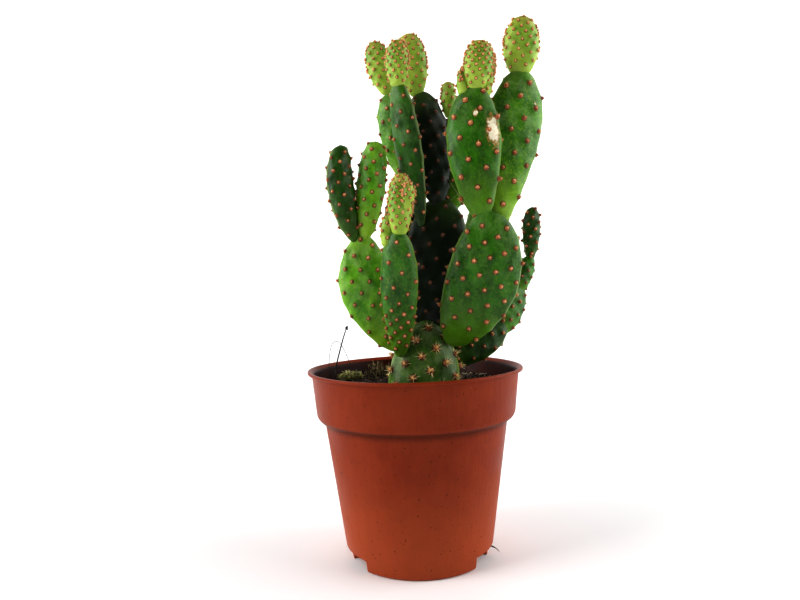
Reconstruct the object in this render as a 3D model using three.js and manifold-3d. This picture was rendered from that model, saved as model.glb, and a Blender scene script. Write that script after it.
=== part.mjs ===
// A potted paddle cactus: a clump of flat, jointed stem pads in a round moulded nursery pot.
// The pot is one thin-walled moulding with a lip, a wide collar and four drain slots at its lower
// corner. It holds a plug of potting mix. The oldest pad stands in the mix on its roots, and
// every other pad grows from the rim of an older one, joined to it by a narrow neck.
// Millimetres, +Z up. The origin is the centre of the pot's base, and -Y is the front.
import * as THREE from "three";
import { mergeVertices } from "three/addons/utils/BufferGeometryUtils.js";
import Module from "manifold-3d";

// ---- Driving dimensions ------------------------------------------------------------------------
const GAP = 0.3; // room left between pieces that touch

const POT_HEIGHT = 73;
const LIP_RADIUS = 42.5;
const LIP_HEIGHT = 1.2;
const LIP_FLARE = 1.6; // how far down the inside of the lip slopes to the collar's wall
const COLLAR_RADIUS = 40.9; // just under the lip
const COLLAR_DRAFT = 1.7; // how much the collar narrows on its way down
const COLLAR_HEIGHT = 16.6; // the lip's top to the collar's lower edge
const STEP_HEIGHT = 3.5; // the rounded step under the collar
const STEP_CORNER = 1.5; // the size of its rounded corner
const BODY_RADIUS = 36.1; // under that step
const FOOT_RADIUS = 28.7;
const WALL = 0.9;
const STEP_ROUNDING = 0.4; // how much higher the step is on the inside
const FLOOR = 1.4;

// The lower corner: two long feet at the front and back, and two short ones, set in, at the sides,
// with a drain slot between each foot and the next.
const FOOT_HEIGHT = 4.5;
const SIDE_FOOT_RADIUS = 27;
const FOOT_INSIDE = 25.4;
const FLOOR_DISC_RADIUS = 24;
const LONG_FOOT_HALF_ANGLE = 44; // degrees, from the front or the back
const SIDE_FOOT_HALF_ANGLE = 18; // degrees, from the side

const SOIL_TOP = 65.5; // at the pot's wall
const SOIL_MOUND = 1.5; // higher than that round the stem
const ROUND_STEPS = 40;

// ---- Materials ---------------------------------------------------------------------------------
const paint = (color, roughness) => new THREE.MeshStandardMaterial({ color, roughness, metalness: 0 });
const POT_PLASTIC = paint("#9c4630", 0.5);
const SOIL_MIX = paint("#2c211b", 0.95);
const OLD_SKIN = paint("#3f6b3c", 0.55);
const PAD_SKIN = paint("#3e7a24", 0.45);
const YOUNG_SKIN = paint("#6f9436", 0.5);
const ROOT_BARK = paint("#a98a63", 0.85);
const MOSS_GREEN = paint("#8f9a55", 0.95);
const DRY_STRAW = paint("#57504a", 0.8);

// ---- Solids ------------------------------------------------------------------------------------
const wasm = await Module();
wasm.setup();

const group = new THREE.Group();

function solidFrom(geometry) {
  const bare = geometry.clone();
  bare.deleteAttribute("normal");
  bare.deleteAttribute("uv");
  const merged = mergeVertices(bare, 1e-4);
  return new wasm.Manifold(
    new wasm.Mesh({
      numProp: 3,
      vertProperties: new Float32Array(merged.attributes.position.array),
      triVerts: new Uint32Array(merged.index.array),
    }),
  );
}

function geometryFrom(solid) {
  const { numProp, vertProperties, triVerts } = solid.getMesh();
  const geometry = new THREE.BufferGeometry();
  const interleaved = new THREE.InterleavedBuffer(vertProperties, numProp);
  geometry.setAttribute("position", new THREE.InterleavedBufferAttribute(interleaved, 3, 0));
  geometry.setIndex(new THREE.BufferAttribute(triVerts, 1));
  const plain = geometry.toNonIndexed();
  plain.computeVertexNormals();
  return plain;
}

function addMesh(name, geometry, material) {
  const mesh = new THREE.Mesh(geometry, material);
  mesh.name = name;
  group.add(mesh);
}

// A profile of [radius, height] pairs, turned about +Z.
function turned(profile, steps = ROUND_STEPS) {
  const points = profile.map(([r, z]) => new THREE.Vector2(r, z));
  return new THREE.LatheGeometry(points, steps).rotateX(Math.PI / 2);
}

// A round bar along a smooth line through the given points.
function tube(line, radius, steps) {
  const section = new THREE.Shape();
  section.absarc(0, 0, radius, 0, 2 * Math.PI, false);
  const extrudePath = new THREE.CatmullRomCurve3(line.map((point) => new THREE.Vector3(...point)));
  return solidFrom(new THREE.ExtrudeGeometry(section, { steps, curveSegments: 3, extrudePath }));
}

// ---- Pot ---------------------------------------------------------------------------------------
const collarFootZ = POT_HEIGHT - COLLAR_HEIGHT;
const bodyTopZ = collarFootZ - STEP_HEIGHT;
const collarFoot = COLLAR_RADIUS - COLLAR_DRAFT;
const lipUnderside = POT_HEIGHT - LIP_HEIGHT;
const bodyDraft = (BODY_RADIUS - FOOT_RADIUS) / bodyTopZ;
const outerRadiusAt = (z) => FOOT_RADIUS + bodyDraft * z;
const stepUnderside = bodyTopZ + 0.7;
const ledgeZ = FOOT_HEIGHT + WALL;

const potProfile = [
  [0, 0],
  [FOOT_RADIUS - 0.5, 0],
  [outerRadiusAt(0.6), 0.6],
  [BODY_RADIUS, bodyTopZ + 0.4],
  [collarFoot - STEP_CORNER, stepUnderside],
  [collarFoot - STEP_CORNER / 4, stepUnderside + STEP_CORNER / 2],
  [collarFoot, stepUnderside + STEP_CORNER],
  [COLLAR_RADIUS, lipUnderside - 0.3],
  [LIP_RADIUS - 0.3, lipUnderside],
  [LIP_RADIUS, lipUnderside + 0.4],
  [LIP_RADIUS - 0.3, POT_HEIGHT],
  [LIP_RADIUS - 0.3 - WALL, POT_HEIGHT],
  [COLLAR_RADIUS - WALL, POT_HEIGHT - LIP_FLARE],
  [collarFoot - WALL, collarFootZ + STEP_ROUNDING],
  [BODY_RADIUS - WALL, bodyTopZ + STEP_ROUNDING],
  [outerRadiusAt(ledgeZ + 1) - WALL, ledgeZ + 1],
  [FOOT_INSIDE, ledgeZ],
  [FOOT_INSIDE, FLOOR],
  [0, FLOOR],
];

// An arc of the lower corner to cut away, from `inside` outwards. Angles in degrees from +X.
function cornerCutter(inside, from, to) {
  const [a, b] = [from, to].map(THREE.MathUtils.degToRad);
  const outline = new THREE.Shape();
  outline.absarc(0, 0, FOOT_RADIUS + 3, a, b, false);
  outline.absarc(0, 0, inside, b, a, true);
  const cut = new THREE.ExtrudeGeometry(outline, {
    depth: FOOT_HEIGHT + 1,
    bevelEnabled: false,
    curveSegments: 12,
  });
  return solidFrom(cut.translate(0, 0, -1));
}

let pot = solidFrom(turned(potProfile));
for (const side of [0, 180]) {
  const end = 90 - LONG_FOOT_HALF_ANGLE;
  pot = pot.subtract(cornerCutter(SIDE_FOOT_RADIUS, side - end, side + end));
  pot = pot.subtract(cornerCutter(FLOOR_DISC_RADIUS, side + SIDE_FOOT_HALF_ANGLE, side + end));
  pot = pot.subtract(cornerCutter(FLOOR_DISC_RADIUS, side - end, side - SIDE_FOOT_HALF_ANGLE));
}
addMesh("pot", geometryFrom(pot), POT_PLASTIC);

// ---- Pads --------------------------------------------------------------------------------------
// A pad is lofted from its base to its tip through oval sections. Its outline is a power of a sine,
// which `crown` makes widest nearer the tip, and `round` makes blunt or tapered.
//   base, tip    the two ends of its length
//   wide, thick  its greatest width and thickness
//   turn         degrees that its flat face is turned from the front, positive towards +X
//   bow          how far its middle leaves the straight line, [sideways, out of its face]
//   neck         the width of the joint as a share of `wide`
const FULL = { crown: 1.25, round: 0.47, neck: 0.3, turn: 0, bow: [0, 0], steps: 8, sides: 14 };
const FINGER = { ...FULL, crown: 1.4, round: 0.34, neck: 0.4 };
const BUD = { ...FULL, crown: 1.15, round: 0.37, neck: 0.6, steps: 7, sides: 10 };

const PADS = [
  // The old stem pad, half buried, and the pads that grow straight from it.
  {
    name: "stem_pad", ...FULL, base: [1.3, -1, 42], tip: [5.8, -1, 91.5],
    wide: 29, thick: 19, crown: 0.92, round: 0.5,
  },
  {
    name: "centre_low_pad", ...FULL, base: [7.5, 0, 87.5], tip: [12.8, 6, 141],
    wide: 27, thick: 9, turn: -6, neck: 0.45,
  },
  {
    name: "front_left_pad", ...FULL, base: [-5.5, -8, 79], tip: [-5, -18, 126],
    wide: 14.4, thick: 8, crown: 1.65, round: 0.45, turn: -8, neck: 0.38,
  },
  {
    name: "left_mid_pad", ...FULL, base: [-7, -2.5, 80.5], tip: [-20, -5, 126.3],
    wide: 21, thick: 7.5, crown: 1.55, bow: [-4.2, 0], neck: 0.35, round: 0.58,
  },
  {
    name: "right_mid_pad", ...FULL, base: [15.4, -6.2, 82.2], tip: [31.6, -14, 131.8],
    wide: 28, thick: 10, crown: 1.15, round: 0.42, bow: [3.2, 0], neck: 0.35,
  },
  {
    name: "left_rear_pad", ...FULL, base: [1, 3.5, 84], tip: [-2, 14, 150],
    wide: 21, thick: 7.5, turn: 8, crown: 1.35,
  },
  {
    name: "rear_low_pad", ...FULL, base: [10, 4.5, 80.5], tip: [26, 15, 113],
    wide: 18, thick: 8, turn: 12, round: 0.47,
  },
  {
    name: "right_low_pad", ...FULL, base: [15, 3, 74.5], tip: [38.5, 9, 90],
    wide: 15.5, thick: 7.5, crown: 1.1, round: 0.45, turn: -10,
  },

  // The second tier.
  {
    name: "right_low_tip_pad", ...FULL, base: [36.5, 8, 84.5], tip: [46, 13, 104],
    wide: 11.5, thick: 6, crown: 1.1, round: 0.45, turn: 25,
  },
  {
    name: "rear_right_pad", ...FULL, base: [25, 14, 110.5], tip: [39, 20, 145.5],
    wide: 18.5, thick: 7.5, turn: 10, crown: 1.5,
  },
  {
    name: "left_tall_pad", ...FULL, base: [4.6, 3, 129], tip: [-3.6, -8, 183.8],
    wide: 11.3, thick: 7, turn: -30, crown: 1.5, round: 0.38,
  },
  {
    name: "centre_mid_pad", ...FULL, base: [11.5, 4.5, 137], tip: [6.8, 9, 185.2],
    wide: 18.5, thick: 7, turn: 14,
  },
  {
    name: "centre_right_pad", ...FULL, base: [17.5, 6.5, 135.5], tip: [20.5, 13, 177],
    wide: 13.5, thick: 6.5, turn: 18,
  },
  {
    name: "left_back_pad", ...FULL, base: [0.5, 12.5, 147], tip: [-8, 7, 184],
    wide: 14, thick: 6.5, turn: -12,
  },
  {
    name: "left_finger_outer", ...FINGER, base: [-22, -5.5, 123.5], tip: [-26.3, -8, 160],
    wide: 10.4, thick: 8.2, bow: [-2.4, 0], turn: 20,
  },
  {
    name: "left_finger_inner", ...FINGER, base: [-18, -5.5, 124.5], tip: [-12.5, -5, 161.8],
    wide: 11.3, thick: 8.5, turn: -12,
  },
  {
    name: "right_front_pad", ...FULL, base: [26.4, -13, 129.5], tip: [24.6, -12, 180.2],
    wide: 20.6, thick: 8.5, turn: -8, bow: [-0.8, 0], crown: 1.42,
  },
  {
    name: "right_back_pad", ...FULL, base: [33.6, -11.5, 127.5], tip: [45.6, -3, 189],
    wide: 22, thick: 8.5, turn: 6, crown: 1.95, bow: [0.2, 0], neck: 0.24, round: 0.57,
  },
  {
    name: "side_low_pad", ...BUD, base: [44.6, 12.5, 101.5], tip: [50.7, 14, 116.5],
    wide: 7, thick: 5, turn: 20,
  },

  // Young growth at the tops, still soft and crowded with tufts.
  {
    name: "side_tip_pad", ...FINGER, base: [50.3, 14, 115], tip: [51.8, 14, 137],
    wide: 7.2, thick: 5.8, steps: 6, sides: 10,
  },
  {
    name: "left_top_bud", ...BUD, base: [-8.2, 7.5, 184.6], tip: [-12.7, 9, 206.2],
    wide: 10.6, thick: 6, crown: 1.2, round: 0.5, neck: 0.4,
  },
  {
    name: "left_tall_bud", ...BUD, base: [-3.5, -8, 182.5], tip: [-3.2, -9, 199.3],
    wide: 8.8, thick: 6.5, turn: -15,
  },
  {
    name: "centre_top_bud", ...BUD, base: [4.4, 9, 184], tip: [1.3, 8.5, 208.8],
    wide: 12, thick: 6.5, neck: 0.45,
  },
  {
    name: "small_rear_bud", ...BUD, base: [17.6, 11, 175.5], tip: [17.4, 10, 189.2],
    wide: 5.9, thick: 4.5,
  },
  {
    name: "right_front_bud", ...BUD, base: [25.5, -12, 178.5], tip: [28.4, -13, 196.6],
    wide: 10.8, thick: 7.5, neck: 0.5,
  },
  {
    name: "right_front_side_bud", ...BUD, base: [20.5, -11.5, 177.5], tip: [22.3, -11, 187.4],
    wide: 4.9, thick: 4.8,
  },
  {
    name: "right_front_rear_bud", ...BUD, base: [29.2, -11.2, 176.8], tip: [32.7, -6, 195],
    wide: 5.8, thick: 5,
  },
  {
    name: "right_back_bud", ...BUD, base: [44.4, -3, 187.5], tip: [46.4, -3, 209.3],
    wide: 13.8, thick: 8.5, round: 0.42, crown: 1.12,
  },
  {
    name: "front_bud", ...BUD, base: [-4.5, -17.8, 124.5], tip: [-3.4, -18.5, 146.4],
    wide: 8.8, thick: 7,
  },
  {
    name: "front_side_bud", ...BUD, base: [-1.6, -20, 134], tip: [-0.4, -22.3, 142.2],
    wide: 4.6, thick: 4,
  },
  {
    name: "left_small_bud", ...BUD, base: [-10, -16.3, 121], tip: [-7.9, -15.2, 132.5],
    wide: 5.2, thick: 4.4,
  },
];

// The corners of a pad grown by `extra` all round, as a closed triangle mesh.
function padGeometry(pad, extra = 0) {
  const base = new THREE.Vector3(...pad.base);
  const tip = new THREE.Vector3(...pad.tip);
  const along = tip.clone().sub(base).normalize();
  base.addScaledVector(along, -extra);
  tip.addScaledVector(along, extra);
  const face = new THREE.Vector3(0, -1, 0).projectOnPlane(along).normalize();
  face.applyAxisAngle(along, THREE.MathUtils.degToRad(pad.turn));
  const side = along.clone().cross(face);

  const start = (Math.asin(pad.neck ** (1 / pad.round)) / Math.PI) ** (1 / pad.crown);
  const outlineAt = (t) => Math.sin(Math.PI * t ** pad.crown) ** pad.round;
  const positions = [];
  const corner = (s, angle, shrink) => {
    const bow = 4 * s * (1 - s);
    const half = shrink * outlineAt(start + (1 - start) * s);
    const across = (pad.wide / 2 + extra) * half * Math.cos(angle) + pad.bow[0] * bow;
    const out = (pad.thick / 2 + extra) * half ** 0.9 * Math.sin(angle) + pad.bow[1] * bow;
    return base.clone().lerp(tip, s).addScaledVector(side, across).addScaledVector(face, out);
  };

  const { steps, sides } = pad;
  const ring = (s) => Array.from({ length: sides }, (_, k) => corner(s, (2 * Math.PI * k) / sides, 1));
  // Rings are closer together at the tip, where the outline turns fastest.
  const rings = Array.from({ length: steps }, (_, i) => ring(Math.sin((Math.PI / 2) * (i / steps))));
  const quad = (a, b, c, d) => positions.push(...a, ...b, ...c, ...a, ...c, ...d);
  for (let i = 0; i + 1 < steps; i++)
    for (let k = 0; k < sides; k++) {
      const next = (k + 1) % sides;
      quad(rings[i][next], rings[i][k], rings[i + 1][k], rings[i + 1][next]);
    }
  for (let k = 0; k < sides; k++) {
    const next = (k + 1) % sides;
    positions.push(...base, ...rings[0][k], ...rings[0][next]);
    positions.push(...tip, ...rings[steps - 1][next], ...rings[steps - 1][k]);
  }
  const geometry = new THREE.BufferGeometry();
  return geometry.setAttribute("position", new THREE.Float32BufferAttribute(positions, 3));
}

// Each pad is trimmed where it meets an older one, so that the joint closes face to face.
const grown = [];
for (const pad of PADS) {
  let solid = solidFrom(padGeometry(pad));
  for (const older of grown) solid = solid.subtract(solidFrom(padGeometry(older, GAP)));
  const largest = solid.decompose().sort((a, b) => b.volume() - a.volume())[0];
  let skin = PAD_SKIN;
  if (pad.name === "stem_pad") skin = OLD_SKIN;
  if (pad.name.endsWith("_bud")) skin = YOUNG_SKIN;
  addMesh(pad.name, geometryFrom(largest), skin);
  grown.push(pad);
}
const stemPad = PADS[0];

// ---- Roots -------------------------------------------------------------------------------------
// A short taproot under the stem pad with five side roots, joined into one piece.
const ROOT_TOP = [1.3, -1, 43];
const SIDE_ROOTS = 5;
const SIDE_ROOT_RADIUS = 1.1;
const TAPROOT_LENGTH = 30;

function rootsSolid(extra = 0) {
  const [x, y, z] = ROOT_TOP;
  const taproot = [
    [0, z - TAPROOT_LENGTH - extra],
    [1.2 + extra, z - TAPROOT_LENGTH + 3],
    [4.5 + extra, z - 6],
    [5 + extra, z + extra],
    [0, z + extra],
  ];
  let roots = solidFrom(turned(taproot, 12).translate(x, y, 0));
  for (let i = 0; i < SIDE_ROOTS; i++) {
    const a = (2 * Math.PI * i) / SIDE_ROOTS + 0.4;
    const reach = 17 + 2 * (i % 2);
    const at = (r, drop) => [x + r * Math.cos(a), y + r * Math.sin(a), z - drop];
    const path = [at(1.5, 5 + i), at(reach * 0.45, 8 + i), at(reach * 0.8, 17 + i)];
    path.push(at(reach, 27 + i + extra));
    roots = roots.add(tube(path, SIDE_ROOT_RADIUS + extra, 6));
  }
  return roots;
}
const stemHole = solidFrom(padGeometry(stemPad, GAP));
addMesh("roots", geometryFrom(rootsSolid().subtract(stemHole)), ROOT_BARK);

// ---- Potting mix -------------------------------------------------------------------------------
const innerRadiusAt = (z) => outerRadiusAt(z) - WALL - GAP;
const collarInside = collarFoot - WALL - GAP;
const moundProfile = [
  [collarInside + 0.4, SOIL_TOP],
  [collarInside * 0.8, SOIL_TOP + SOIL_MOUND * 0.35],
  [collarInside * 0.4, SOIL_TOP + SOIL_MOUND],
  [0, SOIL_TOP + SOIL_MOUND],
];
const soilProfile = [
  [0, FLOOR + GAP],
  [FOOT_INSIDE - GAP, FLOOR + GAP],
  [FOOT_INSIDE - GAP, ledgeZ + GAP],
  [innerRadiusAt(ledgeZ + 2), ledgeZ + 2],
  [BODY_RADIUS - WALL - GAP, bodyTopZ + STEP_ROUNDING],
  [collarInside, collarFootZ + STEP_ROUNDING + GAP],
  ...moundProfile,
];
const rightLowPad = PADS.find((pad) => pad.name === "right_low_pad");
const soil = solidFrom(turned(soilProfile))
  .subtract(stemHole)
  .subtract(rootsSolid(GAP))
  .subtract(solidFrom(padGeometry(rightLowPad, GAP)));
addMesh("potting_mix", geometryFrom(soil), SOIL_MIX);

// ---- What lies and stands on the mix -----------------------------------------------------------
// Everything up to GAP above the mix, so that a piece cut by it rests on the mix.
const groundProfile = [[0, FLOOR], [collarInside, FLOOR], ...moundProfile.map(([r, z]) => [r, z + GAP])];
const ground = solidFrom(turned(groundProfile));

const MOSS_CENTRE = [-27, 14, SOIL_TOP + 1.4];
const MOSS_RADII = [4.2, 3.4, 2.2];
const moss = new THREE.SphereGeometry(1, 12, 8).rotateX(Math.PI / 2);
moss.scale(...MOSS_RADII).translate(...MOSS_CENTRE);
addMesh("moss_cushion", geometryFrom(solidFrom(moss).subtract(ground)), MOSS_GREEN);

// Thin dead growth, each a tube along its line: a flower stalk that leans to the right with its seed
// head, a looped thread beside it, and a wisp of root that pokes out of a drain slot.
const STALK_LINE = [
  [-33.9, 10, SOIL_TOP],
  [-32.4, 10, 74],
  [-30.4, 10, 81],
  [-27.6, 10, 88.6],
];
const STALK_RADIUS = 0.35;
const SEED_HEAD_RADIUS = 0.8;
const THREAD_LINE = [
  [-35.1, 7, SOIL_TOP],
  [-34.8, 7, 77.7],
  [-33.9, 7, 83.1],
  [-30.6, 7, 83.7],
  [-29, 7, 81],
  [-25.8, 7, 74],
  [-26.2, 7, SOIL_TOP],
];
const THREAD_RADIUS = 0.16;
const WISP_LINE = [
  [23.2, -10.3, 2.6],
  [26.6, -10.7, 3.3],
  [28.8, -10.4, 3.9],
  [29.9, -9.8, 3.4],
  [30.3, -9.4, 2],
];
const WISP_RADIUS = 0.32;

const seedHead = new THREE.SphereGeometry(SEED_HEAD_RADIUS, 8, 6).translate(...STALK_LINE.at(-1));
const dryStalk = tube(STALK_LINE, STALK_RADIUS, 6).add(solidFrom(seedHead)).subtract(ground);
addMesh("dry_stalk", geometryFrom(dryStalk), DRY_STRAW);
addMesh("dry_thread", geometryFrom(tube(THREAD_LINE, THREAD_RADIUS, 16).subtract(ground)), DRY_STRAW);
addMesh("root_wisp", geometryFrom(tube(WISP_LINE, WISP_RADIUS, 8)), ROOT_BARK);

export default group;
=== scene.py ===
"""A potted paddle cactus: flat jointed pads with tufted areoles, in a moulded nursery pot.

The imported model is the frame. Each pad's skin is lofted through sections measured on its own CAD
solid, so the plant keeps its place and size. Metres, +Z up, and -Y is the front.
"""
import math
import random

import bmesh
import bpy
import numpy as np
from mathutils import Matrix, Vector, noise


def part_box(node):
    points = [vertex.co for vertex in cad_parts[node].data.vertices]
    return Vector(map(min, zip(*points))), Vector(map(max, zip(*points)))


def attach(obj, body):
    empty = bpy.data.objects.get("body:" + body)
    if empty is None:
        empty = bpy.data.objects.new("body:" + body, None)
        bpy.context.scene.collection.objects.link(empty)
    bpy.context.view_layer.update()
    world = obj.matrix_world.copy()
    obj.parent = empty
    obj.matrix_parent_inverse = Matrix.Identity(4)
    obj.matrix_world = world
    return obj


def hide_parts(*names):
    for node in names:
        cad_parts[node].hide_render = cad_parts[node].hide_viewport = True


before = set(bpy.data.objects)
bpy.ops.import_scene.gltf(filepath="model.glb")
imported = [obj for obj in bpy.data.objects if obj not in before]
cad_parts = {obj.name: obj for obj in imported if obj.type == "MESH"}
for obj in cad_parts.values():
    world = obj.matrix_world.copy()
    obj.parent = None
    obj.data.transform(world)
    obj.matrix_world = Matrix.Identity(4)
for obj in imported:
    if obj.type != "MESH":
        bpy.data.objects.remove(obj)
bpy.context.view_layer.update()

# ---- Pot ---------------------------------------------------------------------------------------
# A thin-walled nursery pot, injection moulded in terracotta-coloured polypropylene: a lip, a wide
# collar, a tapered body and four drain slots between the feet at its lower corner. It is one
# turned wall, with the slots and the set-in side feet cut from it.
MM = 0.001  # lengths are written in millimetres and turned to metres with this
pot_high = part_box("pot")[1]
LIP_RADIUS = pot_high.x / MM
POT_HEIGHT = pot_high.z / MM
COLLAR_RADIUS = 40.9  # just under the lip
COLLAR_FOOT = 56.4
BODY_TOP = 52.9
FOOT_INSIDE = 25.4
FLOOR_THICKNESS = 1.4
WALL = 0.9
POT_STEPS = 180
FOOT_HEIGHT = 4.5
SIDE_FOOT_RADIUS = 27
SLOT_DEPTH_RADIUS = 24
SIDE_FOOT_ANGLE = 18  # degrees, half the side foot
LONG_FOOT_ANGLE = 44  # degrees, half the front or the back foot
CUT_REACH = 32  # past the pot's outside
CUT_STEPS = 12
OUT_OF_ROUND = 0.003  # of the rim's radius
RIM_DIP = 0.25
# Painted light bounced from the floor: the pot is painted paler from the first of these heights
# down to the second.
BOUNCE_LIGHT_TOP = 45
BOUNCE_LIGHT_FULLEST = 6
COLLAR_SHADE_FOOT = 50.5  # painted shade in the step under the collar, from this height up
COLLAR_SHADE_DARKEST = 53.6
COLLAR_SHADE_FADES = 54.2
COLLAR_SHADE_TOP = 55

# Radius, height and rounding, from the middle of the underside, over the lip, to the inside.
POT_PROFILE = [
    (0, 0, 0),
    (28.6, 0, 0.9),
    (36.15, BODY_TOP + 0.5, 0.35),
    (37.6, BODY_TOP + 0.75, 0),
    (39.05, COLLAR_FOOT - 1.9, 1.6),
    (COLLAR_RADIUS, POT_HEIGHT - 1.35, 0.4),
    (LIP_RADIUS, POT_HEIGHT - 1.15, 0.35),
    (LIP_RADIUS, POT_HEIGHT, 0.4),
    (LIP_RADIUS - 0.3 - WALL, POT_HEIGHT, 0.4),
    (COLLAR_RADIUS - WALL, POT_HEIGHT - 1.6, 0.6),
    (39.2 - WALL, COLLAR_FOOT + 0.4, 0.6),
    (36.1 - WALL, BODY_TOP + 0.4, 0.6),
    (28.5, FOOT_HEIGHT + WALL + 1, 0.3),
    (FOOT_INSIDE, FOOT_HEIGHT + WALL, 0.3),
    (FOOT_INSIDE, FLOOR_THICKNESS, 0.5),
    (0, FLOOR_THICKNESS, 0),
]


def srgb(code):
    """A colour given as an sRGB hex value, as the linear colour that the shader needs."""
    parts = [int(code[i:i + 2], 16) / 255 for i in (1, 3, 5)]
    linear = [c / 12.92 if c <= 0.04045 else ((c + 0.055) / 1.055) ** 2.4 for c in parts]
    return (*linear, 1.0)


def feed(material, socket, value):
    """Sets a socket to a value, or links another node's output to it."""
    if isinstance(value, bpy.types.NodeSocket):
        material.node_tree.links.new(value, socket)
    else:
        socket.default_value = value


def add_node(material, kind, *values, output=None, **settings):
    """Adds a shader node with its settings and its inputs, in their order. Returns its output."""
    node = material.node_tree.nodes.new("ShaderNode" + kind)
    for key, value in settings.items():
        setattr(node, key, value)
    shown = [socket for socket in node.inputs if socket.enabled]
    for socket, value in zip(shown, values):
        feed(material, socket, value)
    return node.outputs[output] if output else next(s for s in node.outputs if s.enabled)


def new_material(name):
    """A new material, with its Principled shader."""
    material = bpy.data.materials.new(name)
    material.use_nodes = True
    return material


def finish_surface(material, **inputs):
    """Sets the inputs of the material's Principled shader, and returns the material."""
    shader = material.node_tree.nodes["Principled BSDF"]
    for key, value in inputs.items():
        feed(material, shader.inputs[key.replace("_", " ")], value)
    return material


COLOUR = {"data_type": "RGBA"}
SMOOTH = {"interpolation_type": "SMOOTHSTEP"}
TIMES = {"operation": "MULTIPLY"}
UNMOVED = (0, 0, 0)


def moulded_polypropylene(name, colour, worn_and_floor_lit, dirt_and_shade, dirt_share):
    """Moulded polypropylene: satin and faintly mottled, with faint draw marks down its sides,
    scuffs and a few dark specks. Painted shade darkens the step under the collar, and painted
    light bounced from the floor makes the foot paler."""
    material = new_material(name)
    place = add_node(material, "TexCoord", output="Object")
    height = add_node(material, "SeparateXYZ", place, output="Z")
    drawn = add_node(material, "Mapping", place, UNMOVED, UNMOVED, (1, 1, 0.017))
    scuffed = add_node(material, "Mapping", place, UNMOVED, UNMOVED, (1, 1, 0.2))

    clouds = add_node(material, "TexNoise", place, 1 / (16 * MM), 3, 0.55)
    marks = add_node(material, "TexNoise", drawn, 1 / (1.1 * MM), 2, 0.55)
    scrapes = add_node(material, "TexNoise", scuffed, 1 / (2.2 * MM), 4, 0.7)
    dots = add_node(material, "TexNoise", place, 1 / (0.9 * MM), 1, 0.55)
    smears = add_node(material, "TexNoise", place, 1 / (7 * MM), 5, 0.65)
    grit = add_node(material, "TexNoise", place, 1 / (0.45 * MM), 3, 0.55)

    cloudy = add_node(material, "MapRange", clouds, 0.35, 0.7, 0, 0.2, **SMOOTH)
    lines = add_node(material, "MapRange", marks, 0.35, 0.7, 0, 0.08, **SMOOTH)
    scuffs = add_node(material, "MapRange", scrapes, 0.64, 0.73, 0, 0.3, **SMOOTH)
    specks = add_node(material, "MapRange", dots, 0.71, 0.75, 0, 0.8, **SMOOTH)
    soiled = add_node(material, "MapRange", smears, 0.42, 0.62, 0, dirt_share, **SMOOTH)
    # Painted light: paler towards the foot, as if lit from the bright floor.
    painted_bounce_light = add_node(
        material, "MapRange", height, BOUNCE_LIGHT_TOP * MM, BOUNCE_LIGHT_FULLEST * MM, 0, 0.8, **SMOOTH
    )
    # Painted shade: a darker band in the step under the collar.
    below = add_node(
        material, "MapRange", height, COLLAR_SHADE_FOOT * MM, COLLAR_SHADE_DARKEST * MM, 0, 0.55, **SMOOTH
    )
    above = add_node(
        material, "MapRange", height, COLLAR_SHADE_TOP * MM, COLLAR_SHADE_FADES * MM, 0, 1, **SMOOTH
    )
    painted_collar_shade = add_node(material, "Math", below, above, **TIMES)

    # The second mix paints light from the floor on the foot, and the last paints shade under the
    # collar. The others are the plastic's own mottling, marks and stains.
    tone = add_node(material, "Mix", cloudy, srgb(colour), srgb(worn_and_floor_lit), **COLOUR)
    tone = add_node(material, "Mix", painted_bounce_light, tone, srgb(worn_and_floor_lit), **COLOUR)
    tone = add_node(material, "Mix", lines, tone, srgb(worn_and_floor_lit), **COLOUR)
    tone = add_node(material, "Mix", scuffs, tone, srgb(worn_and_floor_lit), **COLOUR)
    tone = add_node(material, "Mix", soiled, tone, srgb(dirt_and_shade), **COLOUR)
    tone = add_node(material, "Mix", specks, tone, srgb(dirt_and_shade), **COLOUR)
    tone = add_node(material, "Mix", painted_collar_shade, tone, srgb(dirt_and_shade), **COLOUR)
    rough = add_node(material, "MapRange", clouds, 0.35, 0.7, 0.36, 0.5, **SMOOTH)
    relief = add_node(material, "Bump", 1, 0.3 * MM, 1, lines)
    relief = add_node(material, "Bump", 1, 0.03 * MM, 1, grit, relief)
    return finish_surface(
        material, Base_Color=tone, Roughness=rough, Normal=relief, IOR=1.49,
        Specular_IOR_Level=0.13,
    )


def turned_body(profile, steps):
    """A closed body turned about Z from (radius, height, rounding) corners in millimetres."""
    bm = bmesh.new()
    corners = [bm.verts.new((radius * MM, 0, height * MM)) for radius, height, _ in profile]
    for first, second in zip(corners, corners[1:]):
        bm.edges.new((first, second))
    for corner, (_, _, rounding) in zip(corners, profile):
        if rounding:
            bmesh.ops.bevel(
                bm, geom=[corner], offset=rounding * MM, segments=4, profile=0.5,
                affect="VERTICES", material=-1,
            )
    bmesh.ops.spin(
        bm, geom=bm.edges[:] + bm.verts[:], axis=(0, 0, 1), angle=2 * math.pi, steps=steps,
        use_merge=True,
    )
    bmesh.ops.remove_doubles(bm, verts=bm.verts, dist=0.01 * MM)
    bmesh.ops.recalc_face_normals(bm, faces=bm.faces)
    return bm


def finished_mesh(name, bm):
    """The finished bmesh as a mesh."""
    mesh = bpy.data.meshes.new(name)
    bm.to_mesh(mesh)
    bm.free()
    return mesh


def new_object(name, data):
    """An object at the origin, unturned and unscaled."""
    made = bpy.data.objects.new(name, data)
    bpy.context.collection.objects.link(made)
    return made


def make_piece(name, bm, materials, sharp_angle=None):
    """The finished bmesh as a piece that rides on the one body, smooth but for its sharp edges."""
    mesh = finished_mesh(name, bm)
    mesh.shade_smooth()
    if sharp_angle:
        mesh.set_sharp_from_angle(angle=math.radians(sharp_angle))
    for material in materials:
        mesh.materials.append(material)
    piece = new_object(name, mesh)
    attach(piece, "root")
    return piece


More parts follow.
